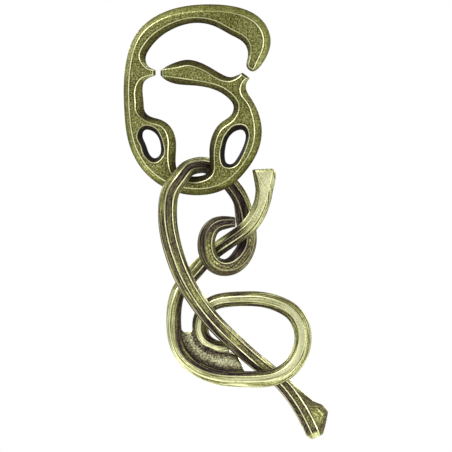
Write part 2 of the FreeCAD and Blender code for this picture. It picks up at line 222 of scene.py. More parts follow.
# On the bars, by row of the line (a fraction is between two rows): the patina of the front flat,
# left bevel, right bevel, left side and right side, which holds painted shade as above; how bright
# the flat's left and right arrises and the sides' arrises are; and how sandy the flat is.
HOOK_FINISH = [
    (0, 0.16, 0.34, 0.48, 0.46, 0.48, 0.2, 0.4, 0.6, 0.6),
    (0.22, 0.20, 0.50, 0.54, 0.46, 0.48, 0.2, 0.6, 0.6, 0.6),
    (0.28, 0.86, 0.80, 0.60, 0.50, 0.44, 0.8, 1.0, 0.2, 1.0),
    (0.6, 0.64, 0.84, 0.63, 0.52, 0.44, 1.0, 1.0, 0.2, 1.0),
    (2, 0.62, 0.86, 0.62, 0.56, 0.50, 1.0, 1.0, 0.6, 1.0),
    (4, 0.62, 0.86, 0.64, 0.66, 0.66, 1.0, 1.0, 0.6, 0.8),
    (8, 0.64, 0.74, 0.62, 0.70, 0.72, 1.0, 1.0, 0.5, 0.5),
    (13, 0.70, 0.60, 0.52, 0.70, 0.76, 1.0, 0.9, 0.5, 0.5),
    (15, 0.74, 0.58, 0.50, 0.66, 0.84, 0.5, 0.7, 0.3, 0.3),
    (17, 0.82, 0.54, 0.62, 0.60, 0.95, 0.4, 0.4, 0.2, 0.3),
    (20, 0.92, 0.58, 0.92, 0.64, 0.96, 0.3, 0.3, 0.1, 0.3),
    (22, 0.96, 0.56, 0.92, 0.60, 0.96, 0.5, 0.4, 0.2, 0.3),
    (25, 0.96, 0.52, 0.90, 0.56, 0.96, 0.5, 0.6, 0.2, 0.3),
    (27, 0.64, 0.52, 0.98, 0.52, 1.00, 0.4, 0.3, 0.1, 0.5),
    (29, 0.62, 0.56, 1.00, 0.56, 1.00, 0.3, 0.4, 0.1, 0.6),
    (30, 0.62, 0.64, 0.92, 0.60, 0.98, 0.3, 0.8, 0.1, 0.7),
    (32, 0.64, 0.78, 0.58, 0.74, 0.86, 0.15, 1.0, 0.3, 0.8),
    (34, 0.62, 0.84, 0.58, 0.82, 0.86, 0.1, 1.0, 0.3, 0.8),
    (36, 0.82, 0.84, 0.78, 0.86, 0.90, 0.25, 0.4, 0.2, 0.6),
    (38, 0.94, 0.90, 0.94, 0.90, 0.96, 0.15, 0.15, 0.1, 0.5),
]
SPIRAL_FINISH = [
    (0, 0.56, 0.60, 0.74, 0.66, 0.85, 0.2, 0.2, 0.1, 0.8),
    (0.22, 0.50, 0.56, 0.72, 0.66, 0.85, 0.3, 0.3, 0.1, 0.8),
    (0.4, 0.15, 0.50, 0.70, 0.66, 0.85, 0.3, 0.3, 0.1, 0.8),
    (3, 0.12, 0.52, 0.52, 0.70, 0.80, 0.3, 0.4, 0.1, 0.8),
    (5, 0.44, 0.62, 0.40, 0.80, 0.80, 0.4, 0.5, 0.1, 0.7),
    (6, 0.80, 0.92, 0.86, 0.96, 0.95, 0.6, 0.4, 0.1, 0.6),
    (7, 0.82, 1.00, 0.56, 1.00, 1.00, 0.7, 0.4, 0.0, 0.5),
    (8, 0.80, 1.00, 0.50, 1.00, 0.90, 0.7, 0.5, 0.0, 0.5),
    (9, 0.60, 0.92, 0.46, 0.94, 0.80, 0.7, 0.7, 0.1, 0.4),
    (12, 0.48, 0.74, 0.56, 0.86, 0.74, 0.6, 0.9, 0.2, 0.5),
    (14, 0.50, 0.94, 0.38, 1.00, 0.52, 0.1, 1.0, 0.1, 0.6),
    (17, 0.44, 0.96, 0.36, 1.00, 0.52, 0.1, 1.0, 0.0, 0.4),
    (19, 0.24, 0.98, 0.48, 1.00, 0.56, 0.3, 0.3, 0.0, 0.2),
    (22, 0.12, 0.86, 0.46, 0.92, 0.60, 0.3, 0.2, 0.2, 0.2),
    (24, 0.06, 0.40, 0.42, 0.62, 0.42, 0.3, 0.3, 0.4, 0.4),
    (26, 0.10, 0.54, 0.48, 0.72, 0.44, 0.3, 0.3, 0.3, 0.4),
    (28, 0.24, 0.82, 0.68, 0.90, 0.76, 0.4, 0.5, 0.1, 0.4),
    (31, 0.28, 0.86, 0.74, 0.92, 0.82, 0.4, 0.5, 0.1, 0.3),
    (33, 0.22, 0.80, 0.88, 0.88, 0.96, 0.5, 0.4, 0.0, 0.3),
    (36, 0.16, 0.76, 0.94, 0.86, 1.00, 0.5, 0.4, 0.0, 0.3),
    (39, 0.28, 0.72, 0.90, 0.84, 1.00, 0.5, 0.5, 0.0, 0.3),
]


# Curves

def chord_lengths(points):
    """The distance of each point from the first, along the chords."""
    steps = np.linalg.norm(np.diff(points, axis=0), axis=1)
    return np.concatenate([[0.0], np.cumsum(steps)])


def smooth(positions, values, at):
    """The natural cubic through a table of values, and its slope, read at other positions."""
    x = np.asarray(positions, float)
    y = np.asarray(values, float)
    step = np.diff(x)[:, None]
    count = len(x)
    system = np.eye(count)
    right = np.zeros_like(y)
    for i in range(1, count - 1):
        before, after = step[i - 1, 0], step[i, 0]
        system[i, i - 1:i + 2] = before, 2 * (before + after), after
        right[i] = 6 * ((y[i + 1] - y[i]) / after - (y[i] - y[i - 1]) / before)
    bend = np.linalg.solve(system, right)
    low = np.clip(np.searchsorted(x, at, side="right") - 1, 0, count - 2)
    span = step[low]
    b = (at - x[low])[:, None] / span
    a = 1 - b
    value = a * y[low] + b * y[low + 1]
    value += ((a ** 3 - a) * bend[low] + (b ** 3 - b) * bend[low + 1]) * span ** 2 / 6
    slope = (y[low + 1] - y[low]) / span
    slope += ((3 * b ** 2 - 1) * bend[low + 1] - (3 * a ** 2 - 1) * bend[low]) * span / 6
    return value, slope


def to_the_right(slope):
    """Unit vectors to the right of directions in the X, Z plane, seen from the front."""
    turned = np.stack([slope[:, 1], -slope[:, 0]], 1)
    return turned / np.linalg.norm(turned, axis=1)[:, None]


def edge_run(run, finish):
    """Points along one run of the plate's edge, those of its flat face, and the finish there."""
    points = np.array([row[:2] for row in run], float)
    bevels = np.array([row[2] for row in run], float)
    positions = chord_lengths(points)
    slope = smooth(positions, points, positions)[1]
    inset = points + to_the_right(slope) * bevels[:, None]
    ends = slope[[0, -1]] / np.linalg.norm(slope[[0, -1]], axis=1)[:, None]
    inset[0] += ends[0] * END_BEVEL
    inset[-1] -= ends[1] * END_BEVEL
    at = np.linspace(0, positions[-1], math.ceil(positions[-1] / PLATE_STEP) + 1)
    marks = read_finish(finish, positions, at)
    return smooth(positions, points, at)[0], smooth(positions, inset, at)[0], marks


def read_finish(finish, positions, at):
    """A finish table, kept by row number, read at distances along the rows' line."""
    known = np.interp([row[0] for row in finish], np.arange(len(positions)), positions)
    columns = zip(*[row[1:] for row in finish])
    return np.stack([np.interp(at, known, column) for column in columns], 1)


def plate_outline():
    """The plate's whole edge, its flat face's outline, and the patina with painted shade and the
    glint along them.
    """
    tables = ((OUTER_EDGE, OUTER_FINISH), (INNER_EDGE, INNER_FINISH), (TONGUE_EDGE, TONGUE_FINISH))
    runs = [edge_run(run, finish) for run, finish in tables]
    edges, insets, marks = [], [], []
    for number, (edge, inset, finish) in enumerate(runs):
        edges.append(edge)
        insets.append(inset)
        marks.append(finish)
        next_edge, next_inset, _ = runs[(number + 1) % len(runs)]
        gap = np.linalg.norm(next_edge[0] - edge[-1])
        count = math.ceil(gap / PLATE_STEP)
        share = (np.arange(1, count) / count)[:, None]
        edges.append(edge[-1] + (next_edge[0] - edge[-1]) * share)
        insets.append(inset[-1] + (next_inset[0] - inset[-1]) * share)
        marks.append(np.tile(BLUNT_END, (count - 1, 1)))
    return np.concatenate(edges), np.concatenate(insets), np.concatenate(marks)


def window_outline(points):
    """A window's edge and its bevel's outline on the flat face, with the metal on the right."""
    once = np.array(points[::-1], float)
    rows = np.concatenate([once[-WINDOW_WRAP:], once, once[:WINDOW_WRAP + 1]])
    wrapped = rows[:, :2]
    positions = chord_lengths(wrapped)
    slope = smooth(positions, wrapped, positions)[1]
    moved = wrapped + to_the_right(slope) * rows[:, 2:]
    start, end = positions[WINDOW_WRAP], positions[WINDOW_WRAP + len(once)]
    at = np.linspace(start, end, math.ceil((end - start) / PLATE_STEP) + 1)[:-1]
    return smooth(positions, wrapped, at)[0], smooth(positions, moved, at)[0]


def inside_outline(points, outline):
    """Which points lie inside a closed outline, by counting its crossings to one side."""
    x, z = points[:, 0], points[:, 1]
    inside = np.zeros(len(points), bool)
    for (x0, z0), (x1, z1) in zip(outline, np.roll(outline, -1, axis=0)):
        if z0 == z1:
            continue
        crosses = (z0 > z) != (z1 > z)
        reach = x0 + (z - z0) * (x1 - x0) / (z1 - z0)
        inside ^= crosses & (x < reach)
    return inside


def point_tree(points):
    """A search tree over points, which gives the number of the nearest and how far it is."""
    tree = kdtree.KDTree(len(points))
    for number, point in enumerate(points):
        tree.insert(point, number)
    tree.balance()
    return tree


# Meshes

class Shell:
    """A mesh being gathered: points, faces, and the finish at each point."""

    def __init__(self):
        self.points = []
        self.faces = []
        self.marks = []

    def add(self, points, marks):
        """Adds points with their marks (patina with painted shade, sand, glint) and gives their
        numbers.
        """
        start = len(self.points)
        self.points.extend(tuple(p) for p in points)
        self.marks.extend(tuple(m) for m in marks)
        return list(range(start, len(self.points)))

    def strip(self, first, second):
        """Faces between two closed loops, with the second on the right of the first."""
        count = len(first)
        for i in range(count):
            j = (i + 1) % count
            self.faces.append((first[i], second[i], second[j], first[j]))


def relax(points, faces, rounds, strength=0.5):
    """Rounds a mesh's arrises a little by drawing each point towards its neighbours."""
    pairs = set()
    for face in faces:
        for a, b in zip(face, face[1:] + face[:1]):
            pairs.add((min(a, b), max(a, b)))
    pairs = np.array(sorted(pairs))
    degree = np.bincount(pairs.ravel(), minlength=len(points)).astype(float)[:, None]
    for _ in range(rounds):
        total = np.zeros_like(points)
        np.add.at(total, pairs[:, 0], points[pairs[:, 1]])
        np.add.at(total, pairs[:, 1], points[pairs[:, 0]])
        points = points + (total / degree - points) * strength
    return points


def normals_of(points, faces):
    """Unit normals at a mesh's points."""
    mesh = bpy.data.meshes.new("scratch")
    mesh.from_pydata(points.tolist(), [], faces)
    mesh.update()
    normals = np.zeros(len(points) * 3, np.float32)
    mesh.vertices.foreach_get("normal", normals)
    bpy.data.meshes.remove(mesh)
    return normals.reshape(-1, 3).astype(float)


def bumps(points, size, seed):
    """Smooth random heights, about -1 to 1, whose bumps are about size across."""
    offset = Vector([seed * step for step in SEED_STEPS])
    return np.array([noise.noise(Vector(p) / size + offset) for p in points])


def add_relief(points, normals, marks, arris, sizes, seed):
    """Raises the sand-cast grain and the unevenness of hand work on a piece's points."""
    fine, coarse, hand = [bumps(points, size, seed + n) for n, size in enumerate(sizes)]
    grain = fine * FINE_SHARE + coarse * (1 - FINE_SHARE)
    away = np.clip(arris / GRAIN_FADE, 0, 1)
    height = grain * marks[:, 1] * away * GRAIN + hand * HAND - RELIEF_DROP
    return points + normals * height[:, None]


def lay_across(points):
    """The lay of a flat face: its streaks run sideways."""
    return np.stack([points[:, 0], points[:, 2], points[:, 1]], 1)


def make_piece(name, points, faces, marks, arris, lay):
    """A mesh object from points in millimetres, with one attribute for each kind of mark."""
    mesh = bpy.data.meshes.new(name)
    mesh.from_pydata((np.asarray(points) * MM).tolist(), [], faces)
    patina_and_shade, sand, glint = marks.T
    singles = {"patina_and_shade": patina_and_shade, "sand": sand, "glint": glint, "arris": arris}
    for key, values in singles.items():
        layer = mesh.attributes.new(key, "FLOAT", "POINT")
        layer.data.foreach_set("value", np.ascontiguousarray(values, np.float32))
    layer = mesh.attributes.new("lay", "FLOAT_VECTOR", "POINT")
    layer.data.foreach_set("vector", np.asarray(lay, np.float32).ravel())
    mesh.polygons.foreach_set("use_smooth", [True] * len(mesh.polygons))
    mesh.validate()
    mesh.update()
    piece = bpy.data.objects.new(name, mesh)
    bpy.context.scene.collection.objects.link(piece)
    return piece


def finish_piece(name, points, faces, marks, arris, lay, seed):
    """A bar's or the web's piece, with its faces turned outwards and the relief on them."""
    normals = normals_of(points, faces)
    if np.einsum("ij,ij->i", normals, points - points.mean(0)).sum() < 0:
        faces = [tuple(reversed(face)) for face in faces]
        normals = -normals
    points = add_relief(points, normals, marks, arris, BAR_BUMPS, seed)
    return make_piece(name, points, faces, marks, arris, lay)


# The ring plate

def add_bevel(shell, edge, flat, finish):
    """Adds a bevel from the middle of the rim to the flat, and gives its first and last loops."""
    rim = PLATE_RIM / 2
    face = PLATE_THICKNESS / 2
    patina_and_shade, glint = finish.T
    nothing = np.zeros(len(edge))
    middle = shell.add(
        np.stack([edge[:, 0], nothing, edge[:, 1]], 1),
        np.stack([patina_and_shade, nothing, nothing], 1),
    )
    before = middle
    for share in BEVEL_SHARES:
        xz = edge + (flat - edge) * share
        depth = np.full(len(xz), -(rim + (face - rim) * share))
        sand = np.full(len(xz), RIM_SAND + (BEVEL_SAND - RIM_SAND) * share)
        shade = RIM_SHADE * (1 - share) ** 2
        loop = shell.add(
            np.stack([xz[:, 0], depth, xz[:, 1]], 1),
            np.stack([patina_and_shade + shade, sand, glint], 1),
        )
        shell.strip(before, loop)
        before = loop
    return middle, before


def net_points(bounds, tree):
    """The points of a triangular net over the flat face's box that keep clear of its outlines."""
    low, high = bounds.min(0), bounds.max(0)
    row_step = PLATE_STEP * math.sqrt(3) / 2
    inside = []
    for row in range(math.ceil((high[1] - low[1]) / row_step)):
        z = low[1] + row * row_step
        for column in range(math.ceil((high[0] - low[0]) / PLATE_STEP) + 1):
            x = low[0] + (column + 0.5 * (row % 2)) * PLATE_STEP
            if tree.find((x, z, 0))[2] > PLATE_STEP * NET_MARGIN:
                inside.append((x, z))
    return inside


def fill_flat(shell, outlines, loops):
    """Fills the flat face with a triangular net between the last loops of its bevels."""
    face = PLATE_THICKNESS / 2
    flats = [flat for _, flat, _ in outlines]
    bounds = np.concatenate(flats)
    tree = point_tree([(x, z, 0) for x, z in bounds])
    segments, start = [], 0
    for flat in flats:
        loop = list(range(start, start + len(flat)))
        segments += [(a, b) for a, b in zip(loop, loop[1:] + loop[:1])]
        start += len(flat)
    places = [Vector(p) for p in bounds.tolist() + net_points(bounds, tree)]
    net, _, triangles, came_from = delaunay_2d_cdt(places, segments, [], 0, NET_TOLERANCE, True)[:4]
    centres = np.array([np.mean([net[i][:] for i in triangle], 0) for triangle in triangles])
    keep = inside_outline(centres, flats[0])
    for hole in flats[1:]:
        keep &= ~inside_outline(centres, hole)

    glints = np.concatenate([finish[:, 1] for _, _, finish in outlines])
    on_loops = [n for loop in loops for n in loop]
    numbers = {}

    def number(i):
        if i not in numbers:
            source = came_from[i][0] if came_from[i] else len(on_loops)
            if source < len(on_loops):
                numbers[i] = on_loops[source]
            else:
                x, z = net[i]
                glint = glints[tree.find((x, z, 0))[1]]
                numbers[i] = shell.add([(x, -face, z)], [(FLAT_PATINA, FLAT_SAND, glint)])[0]
        return numbers[i]

    for triangle, kept in zip(triangles, keep):
        if kept:
            shell.faces.append(tuple(number(i) for i in triangle))
    for n in on_loops:
        patina_and_shade, _, glint = shell.marks[n]
        shell.marks[n] = ((patina_and_shade + FLAT_PATINA) / 2, ARRIS_SAND, glint)


def with_back(shell, middle):
    """The shell and its mirror image behind it, joined at the points in the rim's middle."""
    points = np.array(shell.points)
    marks = np.array(shell.marks)
    others = [n for n in range(len(points)) if n not in middle]
    back = list(range(len(points)))
    for count, n in enumerate(others):
        back[n] = len(points) + count
    faces = shell.faces + [tuple(back[n] for n in reversed(face)) for face in shell.faces]
    points = np.concatenate([points, points[others] * (1, -1, 1)])
    marks = np.concatenate([marks, marks[others]])
    return points, marks, faces


def ring_plate():
    """The open ring: flat faces with bevelled edges, a tongue, a spur and two windows."""
    outlines = [plate_outline()]
    for window in (LEFT_WINDOW, RIGHT_WINDOW):
        edge, flat = window_outline(window)
        outlines.append((edge, flat, np.tile(WINDOW_FINISH, (len(edge), 1))))

    shell = Shell()
    loops = [add_bevel(shell, *outline) for outline in outlines]
    fill_flat(shell, outlines, [last for _, last in loops])
    points, marks, faces = with_back(shell, {n for middle, _ in loops for n in middle})

    tree = point_tree([(x, z, PLATE_THICKNESS / 2) for _, flat, _ in outlines for x, z in flat])
    arris = np.array([tree.find((x, z, abs(y)))[2] for x, y, z in points])
    points = relax(points, faces, PLATE_ROUNDS)
    points = add_relief(points, normals_of(points, faces), marks, arris, PLATE_BUMPS, RING_SEED)
    return make_piece("ring_plate_casting", points, faces, marks, arris, lay_across(points))


# The bars

# The facet after each corner of a section takes one column of the bar's finish.
FACET_COLUMN = (1, 0, 2, 4, 2, 0, 1, 3)
FACET_SAND = (0.35, None, 0.35, 0.25, 0.35, None, 0.35, 0.25)   # None where the finish says
# Which column says how bright each corner's arris is.
CORNER_COLUMN = (7, 5, 6, 7, 7, 6, 5, 7)
SAND_COLUMN = 8
FACET_SHARES = (0.0, 0.3, 0.5, 0.7, 1.0)   # points between two rounded corners
WIDE_FACET = 2.4          # a facet wider than this, as on the flare, stayed sandy
WIDE_RISE = 2.0           # how fast its sand grows with its width
WIDE_SAND = 0.5           # the most it has
END_STEPS = ((0.0, 0.80), (0.06, 0.9), (0.16, 0.96), (0.32, 1.0))   # rounding of a blunt end
END_RINGS = (0.35, 0.6)   # rings on a blunt end's face


def bar_section(width, flat_share, depth, left_reach, right_reach):
    """The corners of a bar's section as sideways, backwards; sideways is the bar's own left."""
    flat = width / 2 * flat_share
    face = min(BAR_THICKNESS, width) / 2 * depth
    rise = BAR_SIDE / 2
    left = width / 2 + left_reach
    right = width / 2 + right_reach
    return np.array([
        (left, rise), (flat, face), (-flat, face), (-right, rise),
        (-right, -rise), (-flat, -face), (flat, -face), (left, -rise),
    ])


def section_ring(corners, finish):
    """The section with its corners rounded: points, patina with painted shade, sand, glint, arris
    distance, around.
    """
    rows = []
    around = 0.0
    count = len(corners)
    glints = finish[list(CORNER_COLUMN)]
    sands = [finish[SAND_COLUMN] if sand is None else sand for sand in FACET_SAND]
    for i in range(count):
        corner, following = corners[i], corners[(i + 1) % count]
        previous = corners[i - 1]
        length = np.linalg.norm(following - corner)
        before = np.linalg.norm(previous - corner)
        reach = min(ARRIS_ROUND, ROUND_SHARE * length, ROUND_SHARE * before)
        first = corner + (previous - corner) / before * reach
        last = corner + (following - corner) / length * reach
        middle = (first + 2 * corner + last) / 4
        patina_and_shade = finish[FACET_COLUMN[i]]
        sands[i] = max(sands[i], min((length - WIDE_FACET) * WIDE_RISE, WIDE_SAND))
        sand = sands[i]
        glint = glints[i]
        mixed_patina_and_shade = (patina_and_shade + finish[FACET_COLUMN[i - 1]]) / 2
        mixed_sand = (sand + sands[i - 1]) / 2
        rows.append((*middle, mixed_patina_and_shade, mixed_sand, glint, 0.0, around))
        next_reach = min(ARRIS_ROUND, ROUND_SHARE * length)
        for share in FACET_SHARES:
            distance = reach + (length - reach - next_reach) * share
            point = corner + (following - corner) / length * distance
            near = min(distance, length - distance)
            here = glint if distance < length / 2 else glints[(i + 1) % count]
            if share in (0.0, 1.0):
                near = ARRIS_ROUND
            rows.append((*point, patina_and_shade, sand, here, near, around + distance))
        around += length
    return np.array(rows)


def bar(name, line, flats, depths, left_reach, right_reach, finish, seed):
    """An eight-sided bar along a smooth line, with rounded arrises, blunt ends and a fine grain."""
    points = np.array([row[:3] for row in line], float)
    positions = chord_lengths(points)
    total = positions[-1]
    start = [at for at, _ in END_STEPS]
    end = [total - at for at, _ in END_STEPS][::-1]
    count = math.ceil((total - start[-1] * 2) / BAR_STEP)
    along = np.concatenate([start[:-1], np.linspace(start[-1], end[0], count), end[1:]])
    shrink = np.ones(len(along))
    shrink[:len(start)] = [share for _, share in END_STEPS]
    shrink[-len(start):] = [share for _, share in END_STEPS][::-1]

    middle, slope = smooth(positions, points, along)
    forward = slope / np.linalg.norm(slope, axis=1)[:, None]
    side = np.cross(forward, (0, 1, 0))
    side /= np.linalg.norm(side, axis=1)[:, None]
    turn = np.radians(np.interp(along, positions, [row[4] for row in line]))[:, None]
    side = side * np.cos(turn) + np.cross(forward, side) * np.sin(turn)
    back = np.cross(side, forward)
    widths = np.interp(along, positions, [row[3] for row in line])
    shares, deep, lefts, rights = [
        np.interp(along, *zip(*table)) for table in (flats, depths, left_reach, right_reach)
    ]
    finishes = read_finish(finish, positions, along)

    all_points, marks, arris, lay = [], [], [], []
    rings = []

    def put(ring, is_side, scale, number):
        across = side[number] * ring[:, :1] + back[number] * ring[:, 1:2]
        rings.append(list(range(len(all_points), len(all_points) + len(ring))))
        all_points.extend(middle[number] + across * scale)
        marks.extend(ring[:, 2:5])
        arris.extend(ring[:, 5] if is_side else [FAR] * len(ring))
        lay.extend((along[number], row[6], 0.0) for row in ring)

    for number in range(len(along)):
        corners = bar_section(
            widths[number], shares[number], deep[number], lefts[number], rights[number]
        )
        ring = section_ring(corners, finishes[number])
        if number == 0:
            for scale in END_RINGS:
                put(ring, False, scale, number)
        put(ring, True, shrink[number], number)
        if number == len(along) - 1:
            for scale in END_RINGS[::-1]:
                put(ring, False, scale, number)

    faces = []
    sides = [(i, (i + 1) % len(rings[0])) for i in range(len(rings[0]))]
    for first, second in zip(rings, rings[1:]):
        faces.extend((first[i], first[j], second[j], second[i]) for i, j in sides)
    for ring, number in ((rings[0], 0), (rings[-1], -1)):
        tip = len(all_points)
        all_points.append(middle[number])
        marks.append(marks[ring[0]])
        arris.append(FAR)
        lay.append((along[number], 0.0, 0.0))
        turned = sides if number else [(j, i) for i, j in sides]
        faces.extend((ring[i], ring[j], tip) for i, j in turned)
    return finish_piece(
        name, np.array(all_points), faces, np.array(marks), np.array(arris), lay, seed,
    )


def hook_bar():
    """The long bar with its crook, its eye and its flared point."""
    return bar(
        "hook_bar_casting", HOOK_LINE, HOOK_FLAT, HOOK_DEPTH, POINT_CORNER, POINT_FLARE,
        HOOK_FINISH, HOOK_SEED,
    )


def spiral_bar():
    """The shank, loop and inner curl."""
    return bar(
        "spiral_bar_casting", SPIRAL_LINE, SPIRAL_FLAT, SPIRAL_DEPTH, BELL_CORNER, NO_REACH,
        SPIRAL_FINISH, SPIRAL_SEED,
    )


# The web

WEB_COLUMNS = 34          # points across the web
WEB_ROWS = 60             # points along it
WEB_RIM = 0.45            # radius of the rounding of its free edges
WEB_RIM_TURN = 0.98       # how far round that goes before the edge is cut off
WEB_FILLET = 0.9          # width of the hollow where it runs into the bar
WEB_FILLET_RISE = 0.5     # how much it thickens there
RAIL_STEP = 5.0           # about how far each row of the rails is below the last
NOTCH_ROUNDS = 6
SPIRAL_POINTS = 1500      # points along the spiral, to measure from
WEB_PATINA = 0.33
WEB_SAND = 1.0
WEB_GLINT = 0.6
WEB_ARRIS = 0.2           # how far inside a free edge its bright line is
WEB_RUB = 0.3             # how much brighter its free edges are
WEB_RUB_WIDTH = 0.5
WEB_RUB_CLEAR = 0.4       # nothing nearer to the bar is rubbed
WEB_WALL_SHADE = 0.5           # painted shade: how much darker it is beside the bar, where the bar shades it
WEB_WALL_SHADE_WIDTHS = (2.0, 0.9)   # widths of that painted shade along the loop and along the curl


def web_grid():
    """Points over the web's middle plane, row by row from the loop's edge to the curl's."""
    rails = np.array([outer + inner for outer, inner in WEB_RAILS], float)
    rows = np.arange(len(rails), dtype=float)
    across = np.linspace(0, 1, WEB_COLUMNS)

    def place(row):
        here = smooth(rows, rails, row)[0]
        return here[:, :3] * (1 - across)[:, None] + here[:, 3:] * across[:, None]

    # Each column starts on the notched upper edge.
    first = np.zeros(WEB_COLUMNS)
    top = place(first)[:, 2].mean()
    for _ in range(NOTCH_ROUNDS):
        here = place(first)
        beside = np.clip(np.abs(here[:, 0] - WEB_NOTCH_X) / WEB_NOTCH_RADIUS, 0, 1)
        depth = WEB_NOTCH_RADIUS * np.sqrt(1 - beside ** 2)
        first = np.clip(first + (here[:, 2] - (top - depth)) / RAIL_STEP, 0, 1)
    shares = np.linspace(0, 1, WEB_ROWS)
    return np.stack([place(first + (rows[-1] - first) * share) for share in shares])


def gap_to_bar(grid):
    """How far each point of the web lies outside the spiral's bar, seen from the front."""
    spiral = np.array([row[:3] for row in SPIRAL_LINE], float)
    positions = chord_lengths(spiral)
    along = np.linspace(0, positions[-1], SPIRAL_POINTS)
    half_width = np.interp(along, positions, [row[3] / 2 for row in SPIRAL_LINE])
    tree = point_tree([(x, z, 0) for x, _, z in smooth(positions, spiral, along)[0]])
    gap = np.zeros(grid.shape[:2])
    for number in np.ndindex(gap.shape):
        x, _, z = grid[number]
        _, nearest, away = tree.find((x, z, 0))
        gap[number] = max(away - half_width[nearest], 0)
    return gap


def web():
    """The thin plate across the hollow between the spiral's loop and its inner curl."""
    grid = web_grid()
    from_top = np.cumsum(np.linalg.norm(np.diff(grid, axis=0, prepend=grid[:1]), axis=2), axis=0)
    from_bottom = from_top[-1] - from_top
    from_curl = np.linalg.norm(grid - grid[:, -1:], axis=2)
    rim = np.minimum(np.minimum(from_top, from_bottom), from_curl)
    wall = gap_to_bar(grid)

    half = np.full(rim.shape, WEB_THICKNESS / 2)
    rounding = np.clip(1 - rim / WEB_RIM, 0, 1)
    half -= WEB_RIM * (1 - np.sqrt(1 - WEB_RIM_TURN * rounding ** 2))
    half += WEB_FILLET_RISE * np.clip(1 - wall / WEB_FILLET, 0, 1) ** 2
    # The web's patina, lighter at its rubbed free edges, with painted shade darkening it beside the
    # bar's walls.
    beside_loop = np.arange(WEB_COLUMNS) < WEB_COLUMNS / 2
    wall_shade_width = np.where(beside_loop, *WEB_WALL_SHADE_WIDTHS)
    rub = np.clip(1 - rim / WEB_RUB_WIDTH, 0, 1) * (wall > WEB_RUB_CLEAR)
    patina_and_shade = WEB_PATINA - WEB_RUB * rub + WEB_WALL_SHADE * np.clip(1 - wall / wall_shade_width, 0, 1)

    count = WEB_ROWS * WEB_COLUMNS
    offset = np.zeros(grid.shape)
    offset[..., 1] = half
    points = np.concatenate([(grid - offset).reshape(-1, 3), (grid + offset).reshape(-1, 3)])
    marks = np.stack([patina_and_shade.ravel(), np.full(count, WEB_SAND), np.full(count, WEB_GLINT)], 1)
    arris = np.abs(rim - WEB_ARRIS).ravel()

    faces = []
    for i in range(WEB_ROWS - 1):
        for j in range(WEB_COLUMNS - 1):
            a = i * WEB_COLUMNS + j
            square = (a, a + 1, a + 1 + WEB_COLUMNS, a + WEB_COLUMNS)
            faces.append(square)
            faces.append(tuple(n + count for n in reversed(square)))
    n = np.arange(count).reshape(WEB_ROWS, WEB_COLUMNS)
    loop = np.concatenate([n[0], n[1:, -1], n[-1, -2::-1], n[-2:0:-1, 0]]).tolist()
    for a, b in zip(loop, loop[1:] + loop[:1]):
        faces.append((b, a, a + count, b + count))
    return finish_piece(
        "spiral_web_casting", points, faces, np.tile(marks, (2, 1)), np.tile(arris, 2),
        lay_across(points), WEB_SEED,
    )


# Materials

class Nodes:
    """Short ways to add and join shader nodes in one material or world."""

    def __init__(self, tree):
        self.tree = tree
        tree.nodes.clear()

    def add(self, kind, inputs=(), **settings):
        node = self.tree.nodes.new(kind)
        for key, value in settings.items():
            setattr(node, key, value)
        for key, value in dict(inputs).items():
            if isinstance(value, bpy.types.NodeSocket):
                self.tree.links.new(value, node.inputs[key])
            else:
                node.inputs[key].default_value = value
        return node

    def math(self, operation, first, second=0.0, clamp=False):
        node = self.add(
            "ShaderNodeMath", {0: first, 1: second}, operation=operation, use_clamp=clamp
        )
        return node.outputs[0]

    def sum(self, first, second, clamp=False):
        return self.math("ADD", first, second, clamp)

    def product(self, first, second, clamp=False):
        return self.math("MULTIPLY", first, second, clamp)

    def fma(self, value, factor, addend):
        """value times factor, plus addend."""
        return self.sum(self.product(value, factor), addend)

    def scaled(self, pattern, factor):
        """A pattern about 0 instead of a half, times a factor."""
        return self.product(self.math("SUBTRACT", pattern, 0.5), factor)

    def attribute(self, name, output="Fac"):
        return self.add("ShaderNodeAttribute", attribute_name=name).outputs[output]

    def ramp(self, value, stops):
        node = self.add("ShaderNodeValToRGB", {0: value})
        elements = node.color_ramp.elements
        while len(elements) < len(stops):
            elements.new(0.5)
        for element, (position, color) in zip(elements, stops):
            element.position = position
            element.color = (*color, 1.0)
        return node.outputs[0]

    def spread(self, value, low, high, to_low=0.0, to_high=1.0):
        """A smooth step of a value: from to_low at low to to_high at high."""
        node = self.add(
            "ShaderNodeMapRange",
            {"Value": value, "From Min": low, "From Max": high, "To Min": to_low,
             "To Max": to_high},
            interpolation_type="SMOOTHSTEP",
        )
        return node.outputs[0]

    def noise(self, vector, scale, detail=2.0, roughness=0.5):
        node = self.add(
            "ShaderNodeTexNoise",
            {"Vector": vector, "Scale": scale, "Detail": detail, "Roughness": roughness},
        )
        return node.outputs[0]


# Colours along the patina, from rubbed to nearly black
CREAM = (0.92, 0.92, 0.55)
PALE = (0.82, 0.82, 0.50)
BRIGHT_OLIVE = (0.53, 0.54, 0.27)
LIGHT_OLIVE = (0.51, 0.525, 0.22)
OLIVE = (0.213, 0.222, 0.062)
DARK_OLIVE = (0.085, 0.078, 0.020)
VIOLET_BROWN = (0.112, 0.086, 0.056)
PALE_GREY = (0.66, 0.66, 0.44)
GREY_OLIVE = (0.28, 0.27, 0.15)
SOOT = (0.020, 0.015, 0.012)
VIOLET_SOOT = (0.022, 0.014, 0.016)

